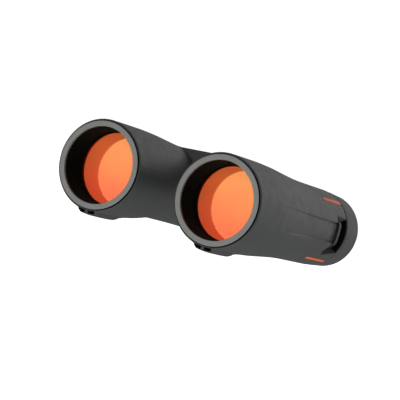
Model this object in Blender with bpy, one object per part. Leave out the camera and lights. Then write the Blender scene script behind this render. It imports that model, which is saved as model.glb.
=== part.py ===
"""Roof-prism binoculars of the 42 mm class, built as separate solids.

Every number is in millimetres and the mesh builders turn it into metres.
Along the object, y counts from the objective rims (0) to the eyecup rims (LENGTH).
Across it, x is 0 at the hinge and z is 0 in the plane of the two optical axes.
Angles round a barrel count from its outward side (0) over the top (90) to the hinge side (180).
"""

import math

import bmesh
import bpy
from mathutils import Matrix, Vector

MM = 0.001

# Driving dimensions
LENGTH = 147.3
AXIS_X = 36.97  # barrel axis from the hinge plane, with the hinge fully open
AXIS_HEIGHT = 27.5  # optical axes above the lowest point, the feet of the tether lugs
PIN_Z = 12.42  # hinge pin above the optical axes
PIN_REACH = math.hypot(AXIS_X, PIN_Z)
PIN_ANGLE = 180.0 - math.degrees(math.atan2(PIN_Z, AXIS_X))  # pin as seen from a barrel axis
FOLD_DEG = 25.5  # each barrel's swing, from 74 mm to 56 mm between the eyes
GAP = 0.3  # between neighbouring pieces
RUNNING = 0.15  # between a shaft and its hole

ROUND = 24  # sides of a barrel-sized circle
SMALL_ROUND = 20  # sides of a hinge-sized circle

RING_R = 24.0
RIM_BORE_R = 21.12
FRONT_FACE_Y = 1.9
LENS_Y = 18.0
LENS_R = 20.6

BRIDGE_Y = (70.0, 115.0)
HUB_R = 13.3
PIN_R = 5.0
PIN_Y = (72.7, 135.7)
PIN_BORE_R = 2.7
CHAMBER_Y = (73.3, 87.2)
KNUCKLE_Y = {-1: (88.5, 101.4), 1: (102.6, 115.0)}
WINDOW_X = 33.4  # outer edge of the bridge, on the barrel's crown
WINDOW_Z = -3.0  # lower edge of the bridge, on the barrel's hinge side

FOCUS_TRAVEL = 5.0
DISC_Y = (83.55, 85.95)
DISC_R = 9.0
FORK_Y = (82.5, 87.0)
ARM_WIDTH = 4.0
ROD_R = 2.4
CROSS_R = 1.2
REAR_CROSS_Y = 127.0

NECK_Y = 112.0
NECK_R = 17.6
BODY_END_Y = 125.7
SEAM_Y = 126.3

# (y, radius) outlines of the barrel's skins
ARMOUR_OUTLINE = [
    (0.9, 24.8), (1.8, 25.2), (30.0, 25.2), (36.0, 25.0), (45.6, 24.7), (56.6, 24.0),
    (68.0, 23.3), (79.0, 22.7), (91.0, 22.4), (112.6, 22.3), (125.9, 22.2),
]
HOUSING_OUTLINE = [
    (FRONT_FACE_Y, 23.3), (29.0, 23.3), (44.0, 20.9), (56.0, 20.3), (75.0, 20.1), (NECK_Y, 20.1),
]
PANEL_DEPTH = [(36.0, 0.0), (61.7, 0.35), (112.6, 1.3)]  # strap groove on the outward side
THUMB_FLAT = [
    (30.0, 25.3), (37.0, 23.9), (41.0, 23.0), (46.0, 21.8), (61.7, 21.3), (79.0, 21.5), (91.0, 21.7),
    (112.6, 22.5),
]  # distance of the thumb rest's flat from the barrel axis
THUMB_ANGLE = {1: -122.0, -1: -96.0}
LUG_HEIGHT = [(1.8, 0.0), (3.0, 1.8), (8.0, 2.2), (20.0, 2.3), (30.0, 0.4), (36.0, 0.0)]
LUG_ANGLE = -90.0
LUG_HALF_WIDTH = (9.0, 15.0)
PANEL_HALF_ANGLE = (15.2, 16.8)

MARK_ANGLES = {"top": 50.5, "bottom": -50.5}
MARK_Y = (98.6, 124.6)
MARK_WIDTH = 1.3
MARK_RADII = (21.6, 22.5)

SIDES = {"right": 1, "left": -1}

PALETTE = {
    "rubber": ((0.075, 0.080, 0.079), 0.62, 0.0),
    "ring_metal": ((0.17, 0.175, 0.165), 0.42, 0.6),
    "housing_metal": ((0.050, 0.052, 0.052), 0.5, 0.5),
    "hood_black": ((0.012, 0.012, 0.011), 0.55, 0.0),
    "lens_glass": ((0.95, 0.30, 0.10), 0.05, 0.0),
    "clear_glass": ((0.75, 0.85, 0.85), 0.05, 0.0),
    "steel": ((0.45, 0.45, 0.45), 0.3, 1.0),
    "brass": ((0.60, 0.45, 0.20), 0.35, 1.0),
    "accent": ((0.80, 0.17, 0.05), 0.5, 0.0),
    "eyecup_rubber": ((0.060, 0.063, 0.062), 0.7, 0.0),
    "seal_rubber": ((0.02, 0.02, 0.02), 0.8, 0.0),
    "washer_plastic": ((0.65, 0.62, 0.55), 0.5, 0.0),
}


def clear_scene():
    for obj in list(bpy.data.objects):
        bpy.data.objects.remove(obj)


def make_materials():
    materials = {}
    for name, (colour, roughness, metallic) in PALETTE.items():
        material = bpy.data.materials.new(name)
        material.use_nodes = True
        shader = material.node_tree.nodes["Principled BSDF"]
        shader.inputs["Base Color"].default_value = (*colour, 1.0)
        shader.inputs["Roughness"].default_value = roughness
        shader.inputs["Metallic"].default_value = metallic
        materials[name] = material
    return materials


def along(points, y):
    """Value at y on a broken line of (y, value) points, held level past its ends."""
    if y <= points[0][0]:
        return points[0][1]
    for (y0, v0), (y1, v1) in zip(points, points[1:]):
        if y <= y1:
            return v0 + (v1 - v0) * (y - y0) / (y1 - y0)
    return points[-1][1]


def polar(radius, angle):
    """Point (x, z) at a radius and an angle in degrees."""
    return radius * math.cos(math.radians(angle)), radius * math.sin(math.radians(angle))


def scaled(bm, offset_y=-LENGTH / 2):
    """Moves a mesh made in millimetres to the object's middle and turns it into metres."""
    bmesh.ops.translate(bm, verts=bm.verts, vec=(0.0, offset_y, 0.0))
    bmesh.ops.scale(bm, verts=bm.verts, vec=(MM, MM, MM))
    return bm


def lathe(outline, segments=ROUND):
    """Solid of revolution about the Y axis from a closed outline of (radius, y) points."""
    bm = bmesh.new()
    ring = [bm.verts.new((radius, y, 0.0)) for radius, y in outline]
    edges = [bm.edges.new((a, b)) for a, b in zip(ring, ring[1:] + ring[:1])]
    bmesh.ops.spin(
        bm, geom=ring + edges, cent=(0, 0, 0), axis=(0, 1, 0),
        angle=2 * math.pi, steps=segments, use_merge=True,
    )
    bmesh.ops.remove_doubles(bm, verts=bm.verts, dist=0.001)
    loose = [edge for edge in bm.edges if not edge.link_faces]
    bmesh.ops.delete(bm, geom=loose, context="EDGES")
    bmesh.ops.recalc_face_normals(bm, faces=bm.faces)
    return bm


def extrude_y(outline, y0, y1):
    """Prism along Y from an (x, z) outline."""
    bm = bmesh.new()
    face = bm.faces.new([bm.verts.new((x, y0, z)) for x, z in outline])
    grown = bmesh.ops.extrude_face_region(bm, geom=[face])["geom"]
    moved = [item for item in grown if isinstance(item, bmesh.types.BMVert)]
    bmesh.ops.translate(bm, verts=moved, vec=(0.0, y1 - y0, 0.0))
    bmesh.ops.recalc_face_normals(bm, faces=bm.faces)
    return bm


def extrude_x(outline, x0, x1):
    """Prism along X from a (y, z) outline."""
    bm = extrude_y(outline, x0, x1)
    for vert in bm.verts:
        vert.co = Vector((vert.co.y, vert.co.x, vert.co.z))
    bmesh.ops.reverse_faces(bm, faces=bm.faces)
    return bm


def radial_box(r0, r1, width, y0, y1, angle):
    """Box that runs outward from the axis at an angle."""
    bm = extrude_y([(r0, -width / 2), (r1, -width / 2), (r1, width / 2), (r0, width / 2)], y0, y1)
    bmesh.ops.rotate(bm, verts=bm.verts, matrix=Matrix.Rotation(-math.radians(angle), 3, "Y"))
    return bm


def cross_bar(radius, half_length, y):
    """Round bar along X through the axis."""
    bm = bmesh.new()
    bmesh.ops.create_cone(
        bm, cap_ends=True, segments=12, radius1=radius, radius2=radius, depth=2 * half_length,
    )
    bmesh.ops.rotate(bm, verts=bm.verts, matrix=Matrix.Rotation(math.pi / 2, 3, "Y"))
    bmesh.ops.translate(bm, verts=bm.verts, vec=(0.0, y, 0.0))
    return bm


def fluted_ring(bore_r, outer_r, depth, flutes, y0, y1):
    """Ring with shallow flutes round its outside, for fingers."""
    bm = bmesh.new()
    loops = []
    for y, bore in ((y0, True), (y0, False), (y1, False), (y1, True)):
        loop = []
        for i in range(4 * flutes):
            radius = bore_r if bore else outer_r - depth * (i % 4 >= 2)
            x, z = polar(radius, 90.0 * i / flutes)
            loop.append(bm.verts.new((x, y, z)))
        loops.append(loop)
    for first, second in zip(loops, loops[1:] + loops[:1]):
        for i in range(4 * flutes):
            j = (i + 1) % (4 * flutes)
            bm.faces.new((first[i], first[j], second[j], second[i]))
    bmesh.ops.recalc_face_normals(bm, faces=bm.faces)
    return bm


def mirrored(bm, side):
    """The same mesh on the left barrel, flipped across its axis."""
    if side < 0:
        bmesh.ops.scale(bm, verts=bm.verts, vec=(-1.0, 1.0, 1.0))
        bmesh.ops.reverse_faces(bm, faces=bm.faces)
    return bm


def add_object(name, bm, parent, material=None):
    """Makes a named object from a mesh in millimetres, on its parent's axis."""
    mesh = bpy.data.meshes.new(name)
    scaled(bm).to_mesh(mesh)
    bm.free()
    mesh.shade_smooth()
    mesh.set_sharp_from_angle(angle=math.radians(30.0))
    obj = bpy.data.objects.new(name, mesh)
    bpy.context.collection.objects.link(obj)
    obj.parent = parent
    if material:
        mesh.materials.append(material)
    return obj


def combine(target, operation, bm, name):
    """Adds (UNION) or cuts away (DIFFERENCE) a helper shape with a Boolean modifier."""
    helper = add_object(f"helper_{target.name}_{name}", bm, target.parent)
    helper.hide_render = True
    helper.display_type = "WIRE"
    modifier = target.modifiers.new(name, "BOOLEAN")
    modifier.operation = operation
    modifier.object = helper


def add_axis(name, x, z, parent=None):
    empty = bpy.data.objects.new(name, None)
    bpy.context.collection.objects.link(empty)
    empty.location = (x * MM, 0.0, z * MM)
    empty.parent = parent
    return empty


def panel_depth(y, angle):
    """Depth of the strap groove, which has a sharp edge above and below."""
    flat, edge = PANEL_HALF_ANGLE
    share = max(0.0, min(1.0, (edge - abs(angle)) / (edge - flat)))
    return share * along(PANEL_DEPTH, y)


def lug_height(y, angle):
    """Height of the lug that a lens cover's tether pushes into."""
    flat, edge = LUG_HALF_WIDTH
    share = max(0.0, min(1.0, (edge - abs(angle - LUG_ANGLE)) / (edge - flat)))
    return share * along(LUG_HEIGHT, y)


def armour_radius(y, angle, side):
    radius = along(ARMOUR_OUTLINE, y) - panel_depth(y, angle)
    off_flat = math.cos(math.radians(angle - THUMB_ANGLE[side]))
    if off_flat > 0.5 and THUMB_FLAT[0][0] <= y <= THUMB_FLAT[-1][0]:
        radius = min(radius, along(THUMB_FLAT, y) / off_flat)
    return radius + lug_height(y, angle)


def armour_shell(side):
    """Rubber skin: a grown and hollowed grid of rings round the barrel axis."""
    edges = [sign * angle for sign in (-1, 1) for angle in PANEL_HALF_ANGLE]
    angles = sorted({*range(-180, 180, 10), *edges})
    outer_ys = sorted({y for points in (ARMOUR_OUTLINE, THUMB_FLAT, LUG_HEIGHT) for y, _ in points})
    inner = [
        (BODY_END_Y + 0.2, NECK_R + GAP), (NECK_Y + GAP, NECK_R + GAP),
        *[(y, radius + GAP) for y, radius in reversed(HOUSING_OUTLINE[1:-1])],
        (FRONT_FACE_Y - GAP, HOUSING_OUTLINE[0][1] + GAP),
        (FRONT_FACE_Y - GAP, RING_R + GAP), (outer_ys[0], RING_R + GAP),
    ]
    inner.insert(2, (NECK_Y + GAP, HOUSING_OUTLINE[-1][1] + GAP))
    rings = [(y, None) for y in outer_ys] + inner
    bm = bmesh.new()
    loops = []
    for y, bore in rings:
        loop = []
        for angle in angles:
            x, z = polar(bore or armour_radius(y, angle, side), angle)
            loop.append(bm.verts.new((side * x, y, z)))
        loops.append(loop)
    for first, second in zip(loops, loops[1:] + loops[:1]):
        for i in range(len(angles)):
            j = (i + 1) % len(angles)
            bm.faces.new((first[i], first[j], second[j], second[i]))
    bmesh.ops.recalc_face_normals(bm, faces=bm.faces)
    return bm


def add_armour(tag, side, axis, material):
    armour = add_object(f"armour_{tag}", armour_shell(side), axis, material)
    x = side * (WINDOW_X + GAP - AXIS_X)
    far = -side * (AXIS_X + 5.0)
    window = [(x, 40.0), (far, 40.0), (far, WINDOW_Z - GAP), (x, WINDOW_Z - GAP)]
    combine(
        armour, "DIFFERENCE",
        extrude_y(window, BRIDGE_Y[0] - GAP, BRIDGE_Y[1] + GAP), "bridge_window",
    )
    pocket = [(112.6, -6.6), (112.6, 6.6), (111.6, 12.8), (130.0, 9.2), (130.0, -9.2), (111.2, -13.0)]
    combine(armour, "DIFFERENCE", mirrored(extrude_x(pocket, 10.0, 40.0), side), "strap_pocket")
    for name, angle in MARK_ANGLES.items():
        groove = radial_box(
            MARK_RADII[0] - GAP, 30.0, MARK_WIDTH + 2 * GAP, MARK_Y[0] - GAP, 127.0, angle,
        )
        combine(armour, "DIFFERENCE", mirrored(groove, side), f"{name}_groove")
    for step in (-1, 1):
        hole = radial_box(24.6, 26.4, 3.2, -2.0, 9.0, LUG_ANGLE + 7.2 * step)
        combine(armour, "DIFFERENCE", mirrored(hole, side), f"tether_hole_{step + 1}")


def add_housing(tag, side, axis, material):
    """Cast tube with its half of the bridge and one hinge knuckle."""
    skin = [(radius, y) for y, radius in HOUSING_OUTLINE]
    blank = [(0.0, FRONT_FACE_Y), *skin, (NECK_R, NECK_Y), (NECK_R, BODY_END_Y), (0.0, BODY_END_Y)]
    housing = add_object(f"barrel_housing_{tag}", lathe(blank), axis, material)

    def local(points):
        return [(side * (x - AXIS_X), z) for x, z in points]

    wing = [
        (WINDOW_X, 19.0), (WINDOW_X, 22.85), (6.2, 24.5), (1.0, 20.0), (1.0, 4.4),
        (11.0, 4.4), (15.4, WINDOW_Z), (18.5, WINDOW_Z),
    ]
    combine(housing, "UNION", extrude_y(local(wing), *BRIDGE_Y), "wing")

    def hub(bore_r, radius, y0, y1):
        bm = lathe([(bore_r, y0), (radius, y0), (radius, y1), (bore_r, y1)], SMALL_ROUND)
        bmesh.ops.translate(bm, verts=bm.verts, vec=(-side * AXIS_X, 0.0, PIN_Z))
        return bm

    combine(housing, "DIFFERENCE", hub(0.0, HUB_R + GAP, 60.0, 120.0), "hub_room")
    bore = [
        (0.0, 0.0), (22.1, 0.0), (22.1, 28.9), (19.7, 44.0), (18.8, 57.0), (18.6, 75.0), (18.6, 111.0),
        (16.4, 111.4), (16.4, 130.0), (0.0, 130.0),
    ]
    combine(housing, "DIFFERENCE", lathe(bore), "bore")
    tunnel = radial_box(
        17.0, 27.0, ARM_WIDTH + 1.0, FORK_Y[0] - FOCUS_TRAVEL - 0.6, FORK_Y[1] + 0.6, PIN_ANGLE,
    )
    combine(housing, "DIFFERENCE", mirrored(tunnel, side), "fork_tunnel")
    knuckle = KNUCKLE_Y[side]
    combine(housing, "UNION", hub(PIN_R + RUNNING, HUB_R, *knuckle), "knuckle")
    web = [(6.0, 21.5), (14.0, 21.0), (16.5, 4.5), (7.0, 4.5)]
    combine(
        housing, "UNION", extrude_y(local(web), knuckle[0] + 0.4, knuckle[1] - 0.4), "web",
    )


def add_objective(tag, axis, materials):
    """Front ring, ridged hood, retaining ring, doublet, its cell and its seal."""
    ring = [(RIM_BORE_R, 0.0), (RING_R - 0.2, 0.0), (RING_R, 0.2), (RING_R, 1.6), (RIM_BORE_R, 1.6)]
    add_object(f"objective_ring_{tag}", lathe(ring), axis, materials["ring_metal"])
    hood = [(RIM_BORE_R, FRONT_FACE_Y), (21.8, FRONT_FACE_Y), (21.8, 16.2), (20.3, 16.2)]
    add_object(f"objective_hood_{tag}", lathe(hood), axis, materials["hood_black"])
    retainer = [(19.9, 16.5), (21.8, 16.5), (21.8, 17.6), (19.9, 17.6)]
    add_object(f"lens_retainer_{tag}", lathe(retainer), axis, materials["hood_black"])
    cell = [
        (20.9, 17.9), (21.8, 17.9), (21.8, 25.6), (20.5, 25.6), (20.5, 27.6), (21.8, 27.6),
        (21.8, 28.6), (19.0, 28.6), (19.0, 25.3), (20.9, 25.3),
    ]
    add_object(f"lens_cell_{tag}", lathe(cell), axis, materials["hood_black"])
    add_object(
        f"objective_lens_{tag}", lens(LENS_R, LENS_Y, 2.3, LENS_Y + 6.9, -0.9), axis,
        materials["lens_glass"],
    )
    seal = [
        (21.25 + 0.5 * math.cos(math.radians(a)), 26.6 + 0.5 * math.sin(math.radians(a)))
        for a in range(0, 360, 60)
    ]
    add_object(f"objective_seal_{tag}", lathe(seal), axis, materials["seal_rubber"])


def lens(radius, front_y, front_bulge, rear_y, rear_bulge):
    """Lens with parabolic faces, each bulging outward by its given height."""
    shares = (0.0, 0.5, 1.0)
    front = [(radius * share, front_y - front_bulge * (1 - share**2)) for share in shares]
    rear = [(radius * share, rear_y + rear_bulge * (1 - share**2)) for share in shares]
    return lathe(front + rear[::-1])


def add_baffle(tag, axis, material):
    baffle = [(18.2, 31.0), (19.0, 31.0), (19.0, 49.0), (15.0, 49.0), (15.0, 48.2), (17.4, 48.2)]
    add_object(f"baffle_tube_{tag}", lathe(baffle), axis, material)


def add_focus_group(tag, side, axis, materials):
    """Sliding cell with the fork that rides on the focus disc, its sleeve and its lens."""
    cell = add_object(
        f"focus_cell_{tag}",
        lathe([(16.2, 60.0), (18.2, 60.0), (18.2, 70.5), (16.2, 70.5)]), axis, materials["brass"],
    )
    rail = radial_box(16.4, 18.0, ARM_WIDTH, 68.0, FORK_Y[1], PIN_ANGLE)
    combine(cell, "UNION", mirrored(rail, side), "rail")
    arm = radial_box(16.9, 31.4, ARM_WIDTH, *FORK_Y, PIN_ANGLE)
    combine(cell, "UNION", mirrored(arm, side), "arm")
    slot = radial_box(
        PIN_REACH - DISC_R - GAP, 33.0, ARM_WIDTH + 2.0, DISC_Y[0] - RUNNING, DISC_Y[1] + RUNNING,
        PIN_ANGLE,
    )
    combine(cell, "DIFFERENCE", mirrored(slot, side), "fork_slot")
    sleeve = [(14.6, 61.5), (15.9, 61.5), (15.9, 69.5), (13.6, 69.5), (13.6, 68.3), (14.6, 68.3)]
    add_object(f"lens_sleeve_{tag}", lathe(sleeve), axis, materials["hood_black"])
    add_object(f"focus_lens_{tag}", lens(14.3, 63.6, -0.9, 68.0, -0.7), axis, materials["clear_glass"])


def add_prisms(tag, axis, materials):
    """Roof prism pair with its air gap, in a ring-shaped cage."""
    cage = [(16.0, 88.2), (18.3, 88.2), (18.3, 110.6), (16.0, 110.6)]
    add_object(f"prism_cage_{tag}", lathe(cage), axis, materials["housing_metal"])
    front = [(89.5, -11.5), (89.5, 11.5), (92.8, 11.5), (102.3, -11.5)]
    add_object(f"prism_front_{tag}", extrude_x(front, -10.0, 10.0), axis, materials["clear_glass"])
    rear = [(93.5, 11.5), (110.0, 11.5), (110.0, -4.4), (103.0, -11.5)]
    add_object(f"prism_rear_{tag}", extrude_x(rear, -10.0, 10.0), axis, materials["clear_glass"])


def add_eyepiece(tag, axis, materials):
    """Eyepiece tube with its two lens groups, and the twist-up eyecup on its glide ring."""
    tube = [
        (14.2, 111.8), (16.1, 111.8), (16.1, 126.0), (18.6, 126.0), (18.6, 127.5), (16.9, 127.5),
        (16.9, 143.0), (11.2, 143.0), (11.2, 141.0), (12.4, 140.4), (12.4, 130.0), (14.2, 128.0),
    ]
    add_object(f"eyepiece_tube_{tag}", lathe(tube), axis, materials["housing_metal"])
    add_object(f"field_lens_{tag}", lens(13.9, 115.6, 1.2, 120.0, 1.4), axis, materials["clear_glass"])
    add_object(f"eye_lens_{tag}", lens(12.1, 133.6, 1.6, 138.6, 1.2), axis, materials["clear_glass"])
    glide = [(17.2, 129.0), (18.2, 129.0), (18.2, 139.5), (17.2, 139.5)]
    add_object(f"eyecup_glide_{tag}", lathe(glide), axis, materials["washer_plastic"])
    cup = [
        (18.9, SEAM_Y), (22.15, SEAM_Y), (22.0, 133.7), (21.6, 140.2), (21.4, 147.0),
        (21.1, LENGTH), (14.5, LENGTH), (14.5, 143.4), (18.5, 143.4), (18.5, 128.4), (18.9, 128.0),
    ]
    add_object(f"eyecup_{tag}", lathe(cup), axis, materials["eyecup_rubber"])


def add_trim(tag, side, axis, materials):
    """Strap bar in its pocket, and the two coloured inlays along the barrel."""
    outline = [
        (16.9, -7.0), (19.2, -7.3), (20.4, -6.9), (21.3, -5.6), (21.6, 0.0), (21.3, 5.6),
        (20.4, 6.9), (19.2, 7.3), (16.9, 7.0), (16.9, 5.7), (18.6, 5.6), (19.4, 4.9),
        (19.6, 0.0), (19.4, -4.9), (18.6, -5.6), (16.9, -5.7),
    ]
    bar = extrude_y(outline, 115.6, 118.6)
    add_object(f"strap_bar_{tag}", mirrored(bar, side), axis, materials["steel"])
    for name, angle in MARK_ANGLES.items():
        mark = radial_box(*MARK_RADII, MARK_WIDTH, *MARK_Y, angle)
        add_object(f"{name}_mark_{tag}", mirrored(mark, side), axis, materials["accent"])


def add_hinge_core(axis, materials):
    """Pin, front cap, tripod socket, focus chamber, washers and nut: the fixed middle."""
    pin = add_object(
        "hinge_pin",
        lathe([(PIN_BORE_R, PIN_Y[0]), (PIN_R, PIN_Y[0]), (PIN_R, PIN_Y[1]), (PIN_BORE_R, PIN_Y[1])],
              SMALL_ROUND), axis, materials["steel"],
    )
    half_slot = CROSS_R + GAP
    for name, y in (("front_slot", sum(DISC_Y) / 2), ("rear_slot", REAR_CROSS_Y)):
        rim = [(-8.0, -half_slot), (8.0, -half_slot), (8.0, half_slot), (-8.0, half_slot)]
        slot = extrude_y(rim, y - FOCUS_TRAVEL - half_slot, y + half_slot)
        combine(pin, "DIFFERENCE", slot, name)
    cap = [
        (5.6, 64.0), (8.0, 64.0), (8.0, 70.2), (12.6, 70.4), (HUB_R, 71.0), (HUB_R, 73.0),
        (11.3, 73.0), (11.3, 76.4), (PIN_R + RUNNING, 76.4), (PIN_R + RUNNING, 72.4), (5.6, 72.4),
    ]
    add_object("front_cap", lathe(cap, SMALL_ROUND), axis, materials["housing_metal"])
    bush = [(3.175, 66.3), (5.3, 66.3), (5.3, 72.0), (3.175, 72.0)]
    add_object("tripod_bush", lathe(bush, SMALL_ROUND), axis, materials["brass"])
    plug = [(0.0, 64.1), (5.0, 64.1), (5.3, 64.4), (5.3, 66.0), (2.8, 66.0), (2.8, 71.0), (0.0, 71.0)]
    tripod_cap = add_object(
        "tripod_cap", lathe(plug, SMALL_ROUND), axis, materials["housing_metal"],
    )
    coin_slot = [(-8.0, -0.7), (8.0, -0.7), (8.0, 0.7), (-8.0, 0.7)]
    combine(tripod_cap, "DIFFERENCE", extrude_y(coin_slot, 63.0, 65.1), "coin_slot")
    sleeve = add_object(
        "focus_chamber",
        lathe([(11.6, CHAMBER_Y[0]), (HUB_R, CHAMBER_Y[0]), (HUB_R, CHAMBER_Y[1]),
               (11.6, CHAMBER_Y[1])], SMALL_ROUND), axis, materials["housing_metal"],
    )
    for tag, side in SIDES.items():
        arc = [polar(17.0, angle) for angle in (-5.0, -22.0, -40.0, -58.0)]
        arc += [polar(9.0, angle) for angle in (-58.0, -32.0, -5.0)]
        window = mirrored(extrude_y(arc, 76.6, 90.0), side)
        combine(sleeve, "DIFFERENCE", window, f"fork_window_{tag}")
    for name, y in (("front", 87.6), ("middle", 101.7), ("rear", 115.3)):
        washer = [(5.3, y), (12.8, y), (12.8, y + 0.6), (5.3, y + 0.6)]
        add_object(f"washer_{name}", lathe(washer, SMALL_ROUND), axis, materials["washer_plastic"])
    nut = [(5.3, 116.2), (9.5, 116.2), (9.5, 118.4), (5.3, 118.4)]
    add_object("hinge_nut", lathe(nut, SMALL_ROUND), axis, materials["steel"])
    screw = [
        (0.0, 131.5), (ROD_R, 131.5), (ROD_R, 136.0), (6.2, 136.0), (6.2, 137.0), (5.6, 137.6),
        (0.0, 137.6),
    ]
    add_object("dial_screw", lathe(screw, SMALL_ROUND), axis, materials["steel"])


def add_focus_drive(axis, materials):
    """Focus wheel and its grip, the diopter dial, and the rod that carries the focus disc."""
    bore = PIN_R + RUNNING
    wheel = [
        (bore, 118.9), (10.0, 118.9), (10.0, 116.3), (12.6, 116.3), (12.6, 117.3), (11.4, 117.3),
        (11.4, 129.8), (12.6, 129.8), (12.6, 130.8), (bore, 130.8), (bore, 129.6), (8.0, 129.6),
        (8.0, 120.1), (bore, 120.1),
    ]
    add_object("focus_wheel", lathe(wheel, SMALL_ROUND), axis, materials["housing_metal"])
    grip = fluted_ring(11.7, 13.2, 0.7, 15, 117.6, 129.5)
    add_object("wheel_grip", grip, axis, materials["rubber"])
    dial = fluted_ring(bore, 9.5, 0.5, 10, 131.3, 135.5)
    add_object("diopter_dial", dial, axis, materials["housing_metal"])
    rod = [(0.0, 82.0), (ROD_R, 82.0), (ROD_R, 129.3), (0.0, 129.3)]
    carriage = add_object("focus_carriage", lathe(rod, SMALL_ROUND), axis, materials["brass"])
    disc = [(5.4, DISC_Y[0]), (DISC_R, DISC_Y[0]), (DISC_R, DISC_Y[1]), (5.4, DISC_Y[1])]
    combine(carriage, "UNION", cross_bar(CROSS_R, 6.4, sum(DISC_Y) / 2), "front_cross")
    combine(carriage, "UNION", lathe(disc, SMALL_ROUND), "disc")
    combine(carriage, "UNION", cross_bar(CROSS_R, 7.4, REAR_CROSS_Y), "rear_cross")


def main():
    clear_scene()
    materials = make_materials()
    hinge_axis = add_axis("hinge_axis", 0.0, AXIS_HEIGHT + PIN_Z)
    add_hinge_core(hinge_axis, materials)
    add_focus_drive(hinge_axis, materials)
    for tag, side in SIDES.items():
        axis = add_axis(f"barrel_axis_{tag}", side * AXIS_X, -PIN_Z, hinge_axis)
        add_housing(tag, side, axis, materials["housing_metal"])
        add_armour(tag, side, axis, materials["rubber"])
        add_objective(tag, axis, materials)
        add_baffle(tag, axis, materials["hood_black"])
        add_focus_group(tag, side, axis, materials)
        add_prisms(tag, axis, materials)
        add_eyepiece(tag, axis, materials)
        add_trim(tag, side, axis, materials)


main()
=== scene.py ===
"""Looks of the 42 mm roof-prism binoculars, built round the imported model.

Shapes are in millimetres until a mesh is placed: y counts from the front rings backwards,
and x and z count from a barrel's optical axis, with x pointing away from the hinge.
Angles round a barrel count from its outward side (0) over the top (90) to the hinge (180).
"""

import math

import bmesh
import bpy
import numpy as np
from mathutils import Matrix, Vector


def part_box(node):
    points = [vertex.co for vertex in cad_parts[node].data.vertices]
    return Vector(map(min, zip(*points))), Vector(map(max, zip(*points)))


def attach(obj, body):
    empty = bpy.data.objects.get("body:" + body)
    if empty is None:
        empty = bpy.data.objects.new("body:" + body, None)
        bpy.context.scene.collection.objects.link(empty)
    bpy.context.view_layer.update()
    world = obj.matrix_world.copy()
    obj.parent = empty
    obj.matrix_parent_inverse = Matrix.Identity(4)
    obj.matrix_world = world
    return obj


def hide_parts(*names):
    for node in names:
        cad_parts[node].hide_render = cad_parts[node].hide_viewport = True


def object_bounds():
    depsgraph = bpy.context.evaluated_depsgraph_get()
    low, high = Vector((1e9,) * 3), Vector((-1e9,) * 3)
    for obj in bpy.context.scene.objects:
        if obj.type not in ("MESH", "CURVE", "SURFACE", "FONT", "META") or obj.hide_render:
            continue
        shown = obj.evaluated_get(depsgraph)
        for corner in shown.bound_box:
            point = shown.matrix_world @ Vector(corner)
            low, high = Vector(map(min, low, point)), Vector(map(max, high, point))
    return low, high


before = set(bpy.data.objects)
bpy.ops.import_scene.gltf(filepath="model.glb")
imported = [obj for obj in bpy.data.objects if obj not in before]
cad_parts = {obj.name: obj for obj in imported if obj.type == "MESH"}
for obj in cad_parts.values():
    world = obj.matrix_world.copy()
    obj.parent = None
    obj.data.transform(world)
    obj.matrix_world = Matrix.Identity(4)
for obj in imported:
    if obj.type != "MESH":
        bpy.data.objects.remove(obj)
CAD_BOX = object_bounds()
MM = 0.001


def middle(node):
    low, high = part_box(node)
    return (low + high) / 2 / MM


# Places read from the frame
AXIS_X = middle("objective_ring_right").x
AXIS_Z = middle("objective_ring_right").z
RIM_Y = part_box("objective_ring_right")[0].y / MM
RING_R = (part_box("objective_ring_right")[1].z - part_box("objective_ring_right")[0].z) / 2 / MM
REAR_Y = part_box("eyecup_right")[1].y / MM - RIM_Y
PIN_DX = -AXIS_X
PIN_DZ = middle("hinge_pin").z - AXIS_Z
PIN_ANGLE = math.degrees(math.atan2(PIN_DZ, PIN_DX))
PIN_AT = (0.0, AXIS_Z + PIN_DZ)
SIDES = {"right": 1, "left": -1}

# Camera, as azimuth, elevation and roll in degrees
VIEW_AZIMUTH = 27.53
VIEW_ELEVATION = 0.64
VIEW_ROLL = 16.39
VIEW_DISTANCE = 864.0
VIEW_SHIFT = (23.04, -9.38)  # of the aim point, right and up in the picture plane
VIEW_LENS = 148.46

# Studio: the camera sees at least the backdrop's white behind the object, while the object
# gets only the ambient, soft and key lights.
# A soft light is an azimuth, elevation, tightness and strength.
BACKDROP = 1.05
FLOOR_DROP = 22.0  # the barrels swing down past their rest height about the fixed hinge
FLOOR_HALF = 6.0  # in metres
AMBIENT = 0.04
SOFT_LIGHTS = [
    (-25.0, 5.0, 3.0, 1.2), (135.0, 10.0, 4.0, 0.5), (155.0, 35.0, 4.0, 0.75), (-152.0, 20.0, 4.0, 0.1),
    (0.0, -90.0, 4.0, 1.0), (75.0, -55.0, 4.0, 1.4),
]
KEY_PLACE = (0.9, -0.55, 0.25)  # in metres
KEY_SIZE = 0.8  # in metres
KEY_POWER = 0.5  # in watts

# Finish: sides of the largest circles, and steps in a rounded corner
ROUND = 168
SMALL_ROUND = 96
CORNER_STEPS = 4

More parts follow.
